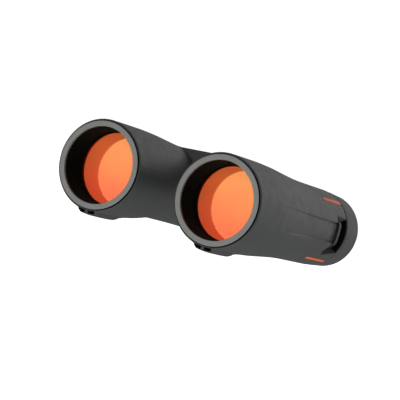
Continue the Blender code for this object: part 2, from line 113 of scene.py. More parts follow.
# Barrel armour
GAP = 0.3
LIP_Y = 0.9
LIP_R = 24.55  # inside of the lip, past the dark groove round the front ring
LIP_ROUND = (0.5, 0.9)  # rounding of the rubber's front and rear edges
BODY_END_Y = 125.9
SEAM_END_Y = 127.1  # rear end of the eyecup's black front band, painted shade for the seam between the armour and the eyecup
HOOD_BORE = 21.12
LENS_R = 20.6
LENS_Y = (18.0, 18.7)  # front and rear face at the lens's edge
LENS_BULGE = (0.35, 2.7)  # how far each face stands out at the middle
BAR_Y = (116.0, 118.6)
ARMOUR_OUTLINE = [
    (0.0, 25.2), (18.0, 25.25), (30.0, 25.2), (38.0, 25.0), (45.6, 24.7), (56.6, 24.0), (68.0, 23.3),
    (79.0, 22.75), (91.0, 22.5), (112.6, 22.4), (126.0, 22.35),
]
PANEL_DEPTH = [(26.0, 0.0), (36.0, 0.12), (61.7, 0.6), (90.0, 1.05), (102.0, 1.4), (112.6, 3.0)]
PANEL_MIDDLE = 0.7  # the panel's own direction, a little above the outward side
PANEL_EDGES = (14.7, 16.0)
THUMB_FLAT = [
    (26.0, 26.4), (31.0, 25.2), (37.0, 24.0), (40.6, 23.0), (46.0, 21.6), (61.7, 21.2), (79.0, 21.4),
    (91.0, 21.6), (106.0, 22.1), (116.0, 23.3),
]
THUMB_ANGLE = {1: -122.0, -1: -96.0}
THUMB_BLEND = 0.7
LUG_HEIGHT = [
    (0.9, 1.2), (2.6, 1.9), (8.0, 2.2), (19.0, 2.25), (24.5, 1.9), (28.0, 0.7), (32.0, 0.15), (36.0, 0.0),
]
LUG_ANGLE = -91.0
LUG_EDGES = (9.5, 14.5)
TETHER_HOLE = (24.9, 26.6, 4.2, 9.0)  # inner and outer radius, width, depth
TETHER_ANGLE = 6.6
POCKET_RISE = 1.5  # slope of the pocket's floor above POCKET_RISE_Z
POCKET_RISE_Z = 7.2
MARKS = {"top": (50.5, 2.5), "bottom": (-50.5, 1.8)}  # angle and width
MARK_Y = (98.6, 124.6)
MARK_RADII = (21.6, 22.6)  # underside and top
GROOVE_MARGIN = 0.3
GROOVE_DEPTH = 0.4
GROOVE_SOFT = 0.12  # half the width of the groove's sloping sides
BRIDGE_Y = (70.0, 115.0)
WING = [
    (-4.4, 15.0), (-4.4, 22.5), (-30.8, 24.5), (-36.0, 20.0), (-36.0, 4.4), (-26.0, 4.4),
    (-21.6, -3.0), (-14.0, -3.0),
]
WING_ROUND = 1.4
WING_FILLET = 0.9
HUB_R = 13.3
HUB_BLEND = 0.5
POCKET = [(112.6, -6.3), (112.6, 6.9), (112.0, 10.9), (130.0, 7.8), (130.0, -8.3), (108.5, -11.6)]
POCKET_FLOOR_R = 18.4
POCKET_ROUND = 1.5
NECK_R = 17.6
HOUSING_R = 20.1
STEP_Y = 110.8
FORK_TUNNEL = (17.0, 27.0, 5.0, 76.9, 87.6)

# Hinge
PIN_R = 5.0
RUNNING = 0.15  # gap between turning parts
KNUCKLE_Y = {-1: (88.5, 101.4), 1: (102.6, 115.0)}  # left knuckle in front, right one behind


# ---------------------------------------------------------------- curves and outlines


def smooth_curve(points, y):
    """Value at y on a smooth curve through (y, value) points that doesn't overshoot them."""
    ys, values = (np.array(column, float) for column in zip(*points))
    steps = np.diff(ys)
    rises = np.diff(values) / steps
    slopes = np.zeros(len(ys))
    slopes[0], slopes[-1] = rises[0], rises[-1]
    same_way = rises[:-1] * rises[1:] > 0
    weight = 3 * (steps[:-1] + steps[1:])
    near, far = 2 * steps[1:] + steps[:-1], steps[1:] + 2 * steps[:-1]
    safe = np.where(same_way, rises[:-1], 1.0), np.where(same_way, rises[1:], 1.0)
    slopes[1:-1] = np.where(same_way, weight / (near / safe[0] + far / safe[1]), 0.0)
    y = np.clip(y, ys[0], ys[-1])
    i = np.clip(np.searchsorted(ys, y, side="right") - 1, 0, len(steps) - 1)
    t = (y - ys[i]) / steps[i]
    return (
        (2 * t**3 - 3 * t**2 + 1) * values[i] + (t**3 - 2 * t**2 + t) * steps[i] * slopes[i]
        + (3 * t**2 - 2 * t**3) * values[i + 1] + (t**3 - t**2) * steps[i] * slopes[i + 1]
    )


def soft_step(low, high, value):
    """0 below low, 1 above high, smooth between; low may be the larger of the two."""
    t = np.clip((value - low) / (high - low), 0.0, 1.0)
    return t * t * (3 - 2 * t)


def soft_min(a, b, reach):
    blend = np.maximum(reach - np.abs(a - b), 0.0) / reach
    return np.minimum(a, b) - blend * blend * reach / 4


def soft_max(a, b, reach):
    return -soft_min(-a, -b, reach)


def outline_distance(points, u, v):
    """Signed distance of (u, v) from a closed outline, negative inside."""
    nearest = np.full(np.broadcast(u, v).shape, 1e9)
    inside = np.zeros(nearest.shape, bool)
    for (u0, v0), (u1, v1) in zip(points, points[1:] + points[:1]):
        du, dv = u1 - u0, v1 - v0
        t = np.clip(((u - u0) * du + (v - v0) * dv) / (du * du + dv * dv), 0.0, 1.0)
        nearest = np.minimum(nearest, np.hypot(u - u0 - t * du, v - v0 - t * dv))
        if dv:
            crosses = ((v0 <= v) != (v1 <= v)) & (u < u0 + (v - v0) / dv * du)
            inside = inside ^ crosses
    return np.where(inside, -nearest, nearest)


def rounded(outline, steps=CORNER_STEPS):
    """Closed outline of (a, b, corner) points with each corner turned into a curve of that reach."""
    made = []
    count = len(outline)
    for i, (a, b, corner) in enumerate(outline):
        point = Vector((a, b))
        if corner <= 0:
            made.append((a, b))
            continue
        ends = []
        for other in (outline[i - 1], outline[(i + 1) % count]):
            way = Vector(other[:2]) - point
            ends.append(point + way.normalized() * min(corner, way.length * 0.48))
        for k in range(steps + 1):
            t = k / steps
            spot = ends[0] * (1 - t) ** 2 + point * (2 * t * (1 - t)) + ends[1] * t**2
            made.append((spot.x, spot.y))
    return made


def near_edge(edge, before, after, count=8):
    """Stations that crowd together towards an edge from both sides."""
    shares = [(i / count) ** 2 for i in range(1, count + 1)]
    return [edge - before * s for s in shares] + [edge] + [edge + after * s for s in shares]


def stations(*groups, least=0.02):
    """Sorted values of several groups, with near duplicates dropped."""
    kept = []
    for value in sorted(value for group in groups for value in group):
        if not kept or value - kept[-1] > least:
            kept.append(value)
    return kept


# ---------------------------------------------------------------- mesh making


def mesh_object(name, points, faces, side=1, at=None, material=None):
    """Object from points in millimetres about the axis at, mirrored for the left side."""
    at = (side * AXIS_X, AXIS_Z) if at is None else at
    places = np.array(points, float) * (side, 1, 1) + (at[0], RIM_Y, at[1])
    mesh = bpy.data.meshes.new(name)
    mesh.from_pydata((places * MM).tolist(), [], faces)
    bm = bmesh.new()
    bm.from_mesh(mesh)
    bmesh.ops.recalc_face_normals(bm, faces=bm.faces)
    bm.to_mesh(mesh)
    bm.free()
    obj = bpy.data.objects.new(name, mesh)
    bpy.context.collection.objects.link(obj)
    if material:
        mesh.materials.append(material)
    smooth(obj)
    return obj


def smooth(obj, angle=32.0):
    obj.data.shade_smooth()
    obj.data.set_sharp_from_angle(angle=math.radians(angle))


def loop_faces(sizes, closed):
    """Faces that join loops of points end to end; a loop of one point is a pole."""
    starts = np.concatenate(([0], np.cumsum(sizes)))
    pairs = [(i, i + 1) for i in range(len(sizes) - 1)] + ([(len(sizes) - 1, 0)] if closed else [])
    faces = []
    for a, b in pairs:
        count = max(sizes[a], sizes[b])
        for i in range(count):
            j = (i + 1) % count
            face = [starts[a] + i % sizes[a], starts[a] + j % sizes[a]]
            face += [starts[b] + j % sizes[b], starts[b] + i % sizes[b]]
            faces.append(list(dict.fromkeys(int(index) for index in face)))
    return faces


def turned(name, outline, material, side=1, at=None, segments=ROUND):
    """Solid of revolution about the axis from a closed outline of (radius, y) points."""
    on_axis = [radius < 1e-6 for radius, _ in outline]
    if any(on_axis):
        first = next(i for i in range(len(outline)) if on_axis[i] and on_axis[i - 1])
        outline = outline[first:] + outline[:first]
    angles = np.arange(segments) * 2 * math.pi / segments
    points, sizes = [], []
    for radius, y in outline:
        ring = angles if radius > 1e-6 else angles[:1]
        points.append(np.stack([radius * np.cos(ring), np.full(len(ring), y), radius * np.sin(ring)], 1))
        sizes.append(len(ring))
    faces = loop_faces(sizes, closed=not any(on_axis))
    return mesh_object(name, np.concatenate(points), faces, side, at, material)


def polar_grid(radii, ys, angles):
    """Points of a grid of radii, one row for each y and one column for each angle in degrees."""
    turn = np.radians(angles)
    rows = np.broadcast_to(np.array(ys, float)[:, None], radii.shape)
    return np.stack([radii * np.cos(turn), rows, radii * np.sin(turn)], 2)


def shell(name, ys, angles, radii, inner, material, side=1, at=None):
    """Closed ring whose outside is a grid of radii and whose inside is a turned outline."""
    inner_radii = np.array([[radius] * len(angles) for _, radius in inner])
    outside = polar_grid(radii, ys, angles)
    inside = polar_grid(inner_radii, [y for y, _ in inner], angles)
    points = np.concatenate([outside, inside]).reshape(-1, 3)
    sizes = [len(angles)] * (len(ys) + len(inner))
    return mesh_object(name, points, loop_faces(sizes, closed=True), side, at, material)


def side_faces(count):
    """Faces between two loops of count points each."""
    return [[i, (i + 1) % count, count + (i + 1) % count, count + i] for i in range(count)]


def prism_y(outline, y0, y1):
    """Points and faces of a prism along y from an (x, z) outline."""
    count = len(outline)
    points = [(x, y, z) for y in (y0, y1) for x, z in outline]
    faces = [list(range(count))[::-1], list(range(count, 2 * count))]
    return points, faces + side_faces(count)


def radial_box(r0, r1, width, y0, y1, angle):
    """Prism that runs outward from the axis at an angle in degrees."""
    turn = math.radians(angle)
    outline = [
        (r * math.cos(turn) - w * math.sin(turn), r * math.sin(turn) + w * math.cos(turn))
        for r, w in ((r0, -width / 2), (r1, -width / 2), (r1, width / 2), (r0, width / 2))
    ]
    return prism_y(outline, y0, y1)


def joined(*shapes):
    """Points and faces of several separate shapes as one."""
    points, faces = [], []
    for more_points, more_faces in shapes:
        faces += [[index + len(points) for index in face] for face in more_faces]
        points += list(more_points)
    return points, faces


def apply_modifiers(obj):
    depsgraph = bpy.context.evaluated_depsgraph_get()
    made = bpy.data.meshes.new_from_object(obj.evaluated_get(depsgraph))
    obj.modifiers.clear()
    obj.data = made


def boolean(obj, operation, points, faces, side=1, at=None):
    """Cuts a helper shape from an object, or adds it, and removes the helper."""
    helper = mesh_object("helper", points, faces, side, at)
    modifier = obj.modifiers.new("boolean", "BOOLEAN")
    modifier.operation = operation
    modifier.object = helper
    apply_modifiers(obj)
    bpy.data.objects.remove(helper)


def bevelled(obj, width, segments=3, angle=40.0):
    """Rounds an object's sharp edges."""
    modifier = obj.modifiers.new("bevel", "BEVEL")
    modifier.width = width * MM
    modifier.segments = segments
    modifier.limit_method = "ANGLE"
    modifier.angle_limit = math.radians(angle)
    apply_modifiers(obj)
    smooth(obj)
    return obj


def recoloured(obj, material, wanted):
    """Gives a second material to the faces whose middle (radius, y) and normal are wanted."""
    obj.data.materials.append(material)
    for face in obj.data.polygons:
        x, y, z = face.center / MM
        radius = math.hypot(abs(x) - AXIS_X, z - AXIS_Z)
        if wanted(radius, y - RIM_Y, face.normal):
            face.material_index = 1
    return obj


def settle(obj, body, slot, *nodes):
    """Hands a finished piece to its body, in place of the CAD nodes that it stands for."""
    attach(obj, body)
    if nodes:
        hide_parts(*nodes)
    return obj


# ---------------------------------------------------------------- materials


def feed(tree, socket, value):
    """Links a socket to another node's output, or sets it to a plain value."""
    if isinstance(value, bpy.types.NodeSocket):
        tree.links.new(value, socket)
    else:
        socket.default_value = value


class Surface:
    """A node material whose patterns follow the object's own coordinates, in metres."""

    def __init__(self, name, roughness=0.5, metallic=0.0):
        self.material = bpy.data.materials.new(name)
        self.material.use_nodes = True
        self.tree = self.material.node_tree
        self.shader = self.tree.nodes["Principled BSDF"]
        self.shader.inputs["Metallic"].default_value = metallic
        self.shader.inputs["Roughness"].default_value = roughness
        self.coordinates = self.node("ShaderNodeTexCoord").outputs["Object"]

    def node(self, kind, inputs=None, **settings):
        made = self.tree.nodes.new(kind)
        for key, value in settings.items():
            setattr(made, key, value)
        for key, value in (inputs or {}).items():
            feed(self.tree, made.inputs[key], value)
        return made

    def link(self, output, key):
        self.tree.links.new(output, self.shader.inputs[key])

    def noise(self, size, detail=3.0, rough=0.55, stretch=(1, 1, 1)):
        """Noise whose blobs measure about size millimetres."""
        where = self.node(
            "ShaderNodeMapping", {"Vector": self.coordinates, "Scale": stretch},
        ).outputs[0]
        wanted = {"Vector": where, "Scale": 1 / (size * MM), "Detail": detail, "Roughness": rough}
        return self.node("ShaderNodeTexNoise", wanted).outputs["Fac"]

    def ramp(self, factor, low, high, start=0.3, end=0.7):
        """Colour that goes from low to high as the factor goes from start to end."""
        made = self.node("ShaderNodeValToRGB", {"Fac": factor})
        for element, place, colour in zip(made.color_ramp.elements, (start, end), (low, high)):
            element.position = place
            element.color = (*colour, 1.0)
        return made.outputs["Color"]

    def mix(self, factor, first, second):
        wanted = {"Factor": factor, "A": first, "B": second}
        made = self.node("ShaderNodeMix", data_type="RGBA")
        for socket in made.inputs:
            if socket.name in wanted and socket.enabled:
                value = wanted[socket.name]
                feed(self.tree, socket, (*value, 1.0) if isinstance(value, tuple) else value)
        return next(socket for socket in made.outputs if socket.enabled)

    def math(self, operation, first, second=0.0):
        made = self.node("ShaderNodeMath", operation=operation)
        for socket, value in zip(made.inputs, (first, second)):
            feed(self.tree, socket, value)
        return made.outputs[0]

    def span(self, factor, low, high, start=0.3, end=0.7):
        """Factor from start to end, mapped to low to high."""
        wanted = {"Value": factor, "From Min": start, "From Max": end, "To Min": low, "To Max": high}
        return self.node("ShaderNodeMapRange", wanted).outputs[0]

    def bump(self, height, depth, below=None):
        """Adds a bump depth millimetres deep, over another bump if one is given."""
        wanted = {"Height": height, "Distance": depth * MM, "Strength": 1.0}
        if below:
            wanted["Normal"] = below
        return self.node("ShaderNodeBump", wanted).outputs["Normal"]

    def radius(self):
        """Distance in millimetres from the nearer barrel's optical axis."""
        split = self.node("ShaderNodeSeparateXYZ", {"Vector": self.coordinates})
        across = self.math("SUBTRACT", self.math("ABSOLUTE", split.outputs["X"]), AXIS_X * MM)
        up = self.math("SUBTRACT", split.outputs["Z"], AXIS_Z * MM)
        square = self.math("ADD", self.math("POWER", across, 2.0), self.math("POWER", up, 2.0))
        return self.math("DIVIDE", self.math("SQRT", square), MM)

    def worn_edges(self, colour, worn, amount=0.5):
        """Lighter colour along convex edges."""
        bend = self.node("ShaderNodeNewGeometry").outputs["Pointiness"]
        factor = self.math("MULTIPLY", self.span(bend, 0.0, 1.0, 0.53, 0.62), amount)
        return self.mix(factor, colour, worn)


def shade(colour, factor):
    return tuple(channel * factor for channel in colour)


def rubber(name, colour, roughness, grain=0.32, depth=0.004):
    """Moulded rubber: fine grain, faint mottling and a little dust."""
    s = Surface(name)
    mottled = s.ramp(s.noise(14.0, 4.0), shade(colour, 0.96), shade(colour, 1.04))
    dusty = s.mix(s.span(s.noise(1.6, 5.0, 0.7), 0.0, 0.07, 0.55, 0.85), mottled, shade(colour, 1.9))
    s.link(dusty, "Base Color")
    s.link(s.span(s.noise(6.0, 4.0), roughness - 0.05, roughness + 0.06), "Roughness")
    s.link(s.bump(s.noise(grain, 2.0), depth), "Normal")
    s.shader.inputs["Specular IOR Level"].default_value = 0.5
    s.shader.inputs["Sheen Weight"].default_value = 0.05
    s.shader.inputs["Sheen Roughness"].default_value = 0.5
    return s.material


def painted(name, colour, roughness, metallic=0.0, grain=0.16, depth=0.006, worn=2.2):
    """Powder paint or anodised metal with a fine tooth and lighter edges."""
    s = Surface(name, metallic=metallic)
    mottled = s.ramp(s.noise(9.0, 4.0), shade(colour, 0.93), shade(colour, 1.07))
    s.link(s.worn_edges(mottled, shade(colour, worn), 0.5), "Base Color")
    s.link(s.span(s.noise(3.0, 4.0), roughness - 0.04, roughness + 0.05), "Roughness")
    s.link(s.bump(s.noise(grain, 2.0), depth), "Normal")
    return s.material


def machined(name, colour, roughness, metallic, pitch=0.09, depth=0.003):
    """Turned metal with fine circular tool lines round the optical axis."""
    s = Surface(name, metallic=metallic)
    mottled = s.ramp(s.noise(7.0, 3.0), shade(colour, 0.95), shade(colour, 1.05))
    s.link(s.worn_edges(mottled, shade(colour, 1.5), 0.35), "Base Color")
    s.link(s.span(s.noise(2.0, 3.0), roughness - 0.03, roughness + 0.04), "Roughness")
    lines = s.math("SINE", s.math("MULTIPLY", s.radius(), 2 * math.pi / pitch))
    fine = s.bump(lines, depth)
    s.link(s.bump(s.noise(0.12, 2.0), 0.002, fine), "Normal")
    return s.material


def brushed(name, colour, roughness=0.3):
    """Bare metal with lines along one direction and faint stains."""
    s = Surface(name, metallic=1.0)
    stained = s.ramp(s.noise(4.0, 4.0), shade(colour, 0.8), colour)
    s.link(stained, "Base Color")
    lines = s.noise(0.15, 2.0, 0.5, stretch=(1, 0.05, 1))
    s.link(s.span(lines, roughness - 0.06, roughness + 0.1), "Roughness")
    s.link(s.bump(lines, 0.003), "Normal")
    return s.material


def hood_black():
    """Dead-black paint inside the hood, with a faint tooth."""
    s = Surface("hood_black_paint")
    s.link(s.ramp(s.noise(2.5, 4.0), (0.0036, 0.0052, 0.0036), (0.0056, 0.0076, 0.0054)), "Base Color")
    s.link(s.span(s.noise(1.0, 3.0), 0.42, 0.6), "Roughness")
    s.link(s.bump(s.noise(0.14, 2.0), 0.008), "Normal")
    s.shader.inputs["Specular IOR Level"].default_value = 0.05
    return s.material


def coating(name, upper, lower, roughness, metallic, alpha=1.0):
    """Anti-reflection coating with a painted reflection: its tint drifts from lighter and yellower at the
    top of the lens to redder at its bottom.
    """
    s = Surface(name, metallic=metallic)
    split = s.node("ShaderNodeSeparateXYZ", {"Vector": s.coordinates})
    # Painted reflection: the colour is lighter and yellower towards the top of the lens and redder towards
    # the bottom, with a slow random drift.
    height = s.math("DIVIDE", s.math("SUBTRACT", split.outputs["Z"], AXIS_Z * MM), 20.0 * MM)
    drift = s.math("ADD", height, s.math("MULTIPLY", s.noise(22.0, 1.0), 0.8))
    s.link(s.ramp(s.span(drift, 0.0, 1.0, -0.6, 1.2), lower, upper, 0.15, 0.85), "Base Color")
    s.link(s.span(s.noise(0.8, 4.0), roughness, roughness + 0.012, 0.5, 0.8), "Roughness")
    s.shader.inputs["Alpha"].default_value = alpha
    return s.material


def clear_glass():
    """Polished optical glass with faint dust."""
    s = Surface("polished_glass")
    s.link(s.ramp(s.noise(9.0, 2.0), (0.80, 0.88, 0.86), (0.88, 0.94, 0.92)), "Base Color")
    s.link(s.span(s.noise(0.5, 4.0), 0.01, 0.06, 0.55, 0.8), "Roughness")
    s.shader.inputs["Transmission Weight"].default_value = 1.0
    s.shader.inputs["IOR"].default_value = 1.52
    return s.material


def eye_glass():
    """Rear lens: dark glass with a green bloom."""
    s = Surface("eye_lens_coating", metallic=0.55)
    s.link(s.ramp(s.noise(10.0, 1.0), (0.03, 0.075, 0.05), (0.06, 0.10, 0.10)), "Base Color")
    s.link(s.span(s.noise(0.6, 4.0), 0.02, 0.045, 0.5, 0.8), "Roughness")
    s.shader.inputs["Coat Weight"].default_value = 0.6
    s.shader.inputs["Coat Roughness"].default_value = 0.02
    return s.material


def make_materials():
    return {
        "armour": rubber("armour_rubber", (0.040, 0.043, 0.042), 0.50),
        "eyecup": rubber("eyecup_rubber", (0.040, 0.042, 0.041), 0.55, 0.26, 0.006),
        "grip": rubber("grip_rubber", (0.034, 0.036, 0.035), 0.6, 0.24, 0.012),
        "seal": rubber("seal_rubber", (0.02, 0.02, 0.02), 0.5),
        "ring": machined("ring_anodised", (0.270, 0.273, 0.258), 0.48, 0.2),
        "wheel": machined("wheel_anodised", (0.07, 0.072, 0.070), 0.36, 0.6, 0.2),
        "housing": painted("housing_paint", (0.045, 0.047, 0.047), 0.46, 0.1),
        # The bar's strong lighter edges are partly wear and partly a painted highlight along its edge.
        "bar": painted("bar_paint", (0.030, 0.032, 0.030), 0.42, 0.2, worn=3.0),
        "cage": painted("cage_anodised", (0.05, 0.05, 0.05), 0.5, 0.6),
        "washer": painted("washer_plastic", (0.25, 0.24, 0.22), 0.4, worn=1.2),
        "mark": painted("accent_orange", (0.80, 0.155, 0.045), 0.48, grain=0.3, worn=1.15),
        "hood": hood_black(),
        "steel": brushed("brushed_steel", (0.50, 0.50, 0.49)),
        "brass": brushed("turned_brass", (0.62, 0.46, 0.22)),
        # Both coatings carry a painted reflection, lighter at the top of each lens than at its bottom.
        "coat_front": coating("front_coating", (1.0, 0.56, 0.20), (1.0, 0.34, 0.16), 0.03, 1.0, 0.34),
        "coat_rear": coating("rear_coating", (1.0, 0.22, 0.06), (1.0, 0.13, 0.045), 0.05, 1.0),
        "glass": clear_glass(),
        "eye": eye_glass(),
    }


# ---------------------------------------------------------------- barrels


def wing_distance(x, y, z):
    """Signed distance from the half bridge, a prism along y with rounded edges."""
    across = outline_distance(WING, x, z) + WING_ROUND
    along = np.abs(y - sum(BRIDGE_Y) / 2) - (BRIDGE_Y[1] - BRIDGE_Y[0]) / 2 + WING_ROUND
    outer = np.hypot(np.maximum(across, 0.0), np.maximum(along, 0.0))
    return outer + np.minimum(np.maximum(across, along), 0.0) - WING_ROUND


def tube_radius(y, angle, side):
    """Radius of the bare rubber tube: its outline, strap panel, thumb rest and lug."""
    radius = smooth_curve(ARMOUR_OUTLINE, y)
    flat, edge = PANEL_EDGES
    radius = radius - smooth_curve(PANEL_DEPTH, y) * soft_step(edge, flat, np.abs(angle - PANEL_MIDDLE))
    off_flat = np.cos(np.radians(angle - THUMB_ANGLE[side]))
    facing = np.maximum(off_flat, 0.5)
    thumb = np.where(off_flat > 0.5, smooth_curve(THUMB_FLAT, y) / facing, 99.0)
    inside = (y >= THUMB_FLAT[0][0]) & (y <= THUMB_FLAT[-1][0])
    radius = np.where(inside, soft_min(radius, thumb, THUMB_BLEND), radius)
    flat, edge = LUG_EDGES
    lug = smooth_curve(LUG_HEIGHT, y) * soft_step(edge, flat, np.abs(angle - LUG_ANGLE))
    past_end = np.maximum(MARK_Y[0] - GROOVE_MARGIN - y, y - MARK_Y[1] - GROOVE_MARGIN)
    groove = 0.0
    for mark_angle, width in MARKS.values():
        off_mark = np.radians(np.abs(angle - mark_angle)) * radius
        half = width / 2 + GROOVE_MARGIN
        beside = soft_step(half + GROOVE_SOFT, half - GROOVE_SOFT, off_mark)
        groove = groove + beside * soft_step(GROOVE_SOFT, -GROOVE_SOFT, past_end)
    return radius + lug - GROOVE_DEPTH * groove


def lip_drop(y):
    """How far the rubber's rounded front and rear edges fall short of its full radius."""
    front, rear = LIP_ROUND
    drop = np.zeros(np.shape(y))
    for edge, reach in ((LIP_Y - y + front, front), (y - BODY_END_Y + rear, rear)):
        share = np.clip(edge / reach, 0.0, 1.0)
        drop = drop + reach * (1 - np.sqrt(1 - share**2))
    return drop


def armour_distance(radius, y, angle, side):
    """Signed distance from the armour's outside at a point given round the barrel."""
    x, z = radius * np.cos(np.radians(angle)), radius * np.sin(np.radians(angle))
    distance = radius - tube_radius(y, angle, side) + lip_drop(y)
    distance = soft_min(distance, wing_distance(x, y, z), WING_FILLET)
    hub = np.hypot(x - PIN_DX, z - PIN_DZ) - HUB_R - GAP
    distance = soft_max(distance, -hub, HUB_BLEND)
    floor = POCKET_FLOOR_R + POCKET_RISE * np.maximum(z - POCKET_RISE_Z, 0.0)
    pocket = np.maximum(outline_distance(POCKET, y, z), floor - radius)
    pocket = np.where(x > 0, pocket, 99.0)
    return soft_max(distance, -pocket, POCKET_ROUND)


def armour_radii(ys, angles, side):
    """Radius of the armour's outside at each y and angle, found outward from the axis."""
    y, angle = np.meshgrid(ys, angles, indexing="ij")
    low = np.full(y.shape, POCKET_FLOOR_R - 0.3)
    high = np.full(y.shape, 42.0)
    found = np.zeros(y.shape, bool)
    for radius in np.arange(POCKET_FLOOR_R - 0.3, 42.0, 0.3):
        outside = armour_distance(np.full(y.shape, radius), y, angle, side) > 0
        high = np.where(outside & ~found, radius, high)
        found |= outside
        low = np.where(found, low, radius)
    for _ in range(18):
        centre = (low + high) / 2
        outside = armour_distance(centre, y, angle, side) > 0
        low, high = np.where(outside, low, centre), np.where(outside, centre, high)
    return (low + high) / 2


def armour_grid():
    """Stations along the barrel and angles round it, closest together at the features."""
    ys = stations(
        [LIP_Y, LIP_Y + 0.08, LIP_Y + 0.2, LIP_Y + 0.35, LIP_Y + 0.6],
        np.arange(2.0, 10.0, 0.8), np.arange(10.0, 42.0, 2.0), np.arange(42.0, 67.0, 1.1),
        near_edge(BRIDGE_Y[0], 2.5, WING_ROUND, 9), np.arange(72.0, 97.0, 1.8),
        near_edge(MARK_Y[0] - GROOVE_MARGIN, 0.6, 0.6, 4), np.arange(99.5, 110.0, 1.5),
        np.arange(110.0, BODY_END_Y - 0.3, 0.24), near_edge(BRIDGE_Y[1], 0.8, 0.8, 6),
        [BODY_END_Y - 0.35, BODY_END_Y - 0.2, BODY_END_Y - 0.08, BODY_END_Y - 0.02, BODY_END_Y],
    )
    marks = [angle + step for angle, _ in MARKS.values() for step in np.arange(-4.9, 5.0, 0.35)]
    angles = stations(
        np.arange(-180.0, -108.0, 2.2), np.arange(-108.0, -72.0, 1.1), np.arange(-72.0, -42.0, 2.0),
        np.arange(-42.0, 42.1, 0.62), marks, np.arange(44.0, 136.0, 1.6),
        np.arange(136.0, 146.0, 0.35), np.arange(146.0, 180.0, 1.0), np.arange(-180.0, -166.0, 1.0),
        least=0.12,
    )
    return ys, np.array(angles)


def make_armour(tag, side, materials):
    """Rubber skin with its half of the bridge, strap panel, pocket, lug and thumb rest."""
    ys, angles = armour_grid()
    radii = armour_radii(ys, angles, side)
    bore = HOUSING_R + GAP
    inner = [
        (BODY_END_Y, NECK_R + GAP), (STEP_Y + 0.2, NECK_R + GAP), (STEP_Y + 0.2, bore), (66.0, bore),
        (44.0, bore + 0.8), (29.0, 23.6), (2.6, 23.6), (2.6, LIP_R), (LIP_Y, LIP_R),
    ]
    name = f"rubber_armour_{tag}"
    armour = shell(name, ys, angles, radii, inner, materials["armour"], side)
    r0, r1, width, depth = TETHER_HOLE
    holes = [
        radial_box(r0, r1, width, -1.0, depth, LUG_ANGLE + step * TETHER_ANGLE) for step in (-1, 1)
    ]
    tunnel = radial_box(*FORK_TUNNEL, PIN_ANGLE)
    boolean(armour, "DIFFERENCE", *joined(*holes, tunnel), side)
    smooth(armour)
    settle(armour, f"barrel_{tag}", "armour_rubber", f"armour_{tag}")


def make_housing(tag, side, materials):
    """Metal tube under the armour, with the tunnel for the hinge cut through it."""
    outline = rounded([
        (22.1, 2.9, 0.2), (23.3, 2.9, 0.3), (23.3, 29.0, 2), (20.9, 44.0, 2), (HOUSING_R, 66.0, 1),
        (HOUSING_R, STEP_Y, 0.3), (NECK_R, STEP_Y, 0.3), (NECK_R, 125.7, 0.4), (16.4, 125.7, 0.3),
        (16.4, 111.4, 0), (18.6, 110.6, 0), (18.6, 75.0, 1), (19.6, 44.0, 2), (22.1, 28.9, 2),
    ])
    housing = turned(f"housing_{tag}", outline, materials["housing"], side)
    boolean(housing, "DIFFERENCE", *radial_box(*FORK_TUNNEL, PIN_ANGLE), side)
    smooth(housing)
    settle(housing, f"barrel_{tag}", "housing_paint", f"barrel_housing_{tag}")


def make_knuckle(tag, side, materials):
    """Hinge knuckle with a turned groove, and the web that ties it to the barrel."""
    y0, y1 = KNUCKLE_Y[side]
    bore = PIN_R + RUNNING
    centre = (y0 + y1) / 2
    outline = rounded([
        (bore, y0, 0.3), (HUB_R, y0, 0.6), (HUB_R, centre - 1.0, 0.15), (HUB_R - 0.35, centre - 0.7, 0.15),
        (HUB_R - 0.35, centre + 0.7, 0.15), (HUB_R, centre + 1.0, 0.15), (HUB_R, y1, 0.6),
        (bore, y1, 0.3),
    ])
    knuckle = turned(f"hinge_knuckle_{tag}", outline, materials["housing"], side, PIN_AT, SMALL_ROUND)
    web = [(5.8, 8.9), (13.9, 8.2), (16.0, -7.6), (7.4, -7.8)]
    boolean(knuckle, "UNION", *prism_y(web, y0 + 0.9, y1 - 0.9), side, PIN_AT)
    smooth(knuckle)
    settle(knuckle, f"barrel_{tag}", "housing_paint")


def make_front(tag, side, materials):
    """Front ring, ridged hood and the ring that retains the lens."""
    body = f"barrel_{tag}"
    bore = HOOD_BORE
    ring = rounded([
        (bore, 0.0, 0.12), (RING_R, 0.0, 0.25), (RING_R, 1.6, 0.15), (bore, 1.6, 0.1),
    ])
    piece = turned(f"front_ring_{tag}", ring, materials["ring"], side)
    # The ring's outer wall takes the black hood paint: painted shade for the dark groove between the ring
    # and the armour's lip.
    wall = RING_R - 0.2
    recoloured(piece, materials["hood"], lambda radius, y, normal: radius > wall and abs(normal.y) < 0.4)
    settle(piece, body, "ring_metal", f"objective_ring_{tag}")

    ridges = []
    count = 13
    for i in range(count):
        y = 2.2 + 13.6 * i / count
        radius = bore - 0.82 * (y - 1.9) / 14.3
        ridges += [(radius, y), (radius, y + 0.45), (radius + 0.2, y + 0.6), (radius + 0.2, y + 0.95)]
    hood = [(bore, 1.9), *ridges, (20.3, 16.2), (21.8, 16.2), (21.8, 1.9)]
    piece = turned(f"ridged_hood_{tag}", hood, materials["hood"], side)
    settle(piece, body, "hood_black", f"objective_hood_{tag}")

    retainer = rounded([(19.9, 16.6, 0.3), (21.8, 16.6, 0), (21.8, 17.6, 0), (19.9, 17.6, 0.1)])
    piece = turned(f"retaining_ring_{tag}", retainer, materials["hood"], side)
    settle(piece, body, "hood_black", f"lens_retainer_{tag}")


def make_lens(tag, side, materials):
    """Doublet whose front and rear faces carry their own coatings."""
    shares = np.linspace(0.0, 1.0, 25)
    front = [(LENS_R * s, LENS_Y[0] - LENS_BULGE[0] * (1 - s * s)) for s in shares]
    rear = [(LENS_R * s, LENS_Y[1] + LENS_BULGE[1] * (1 - s * s)) for s in shares]
    name = f"coated_doublet_{tag}"
    lens = turned(name, front + rear[::-1], materials["coat_front"], side)
    recoloured(lens, materials["coat_rear"], lambda _, y, normal: y > sum(LENS_Y) / 2)
    settle(lens, f"barrel_{tag}", "coated_glass", f"objective_lens_{tag}")


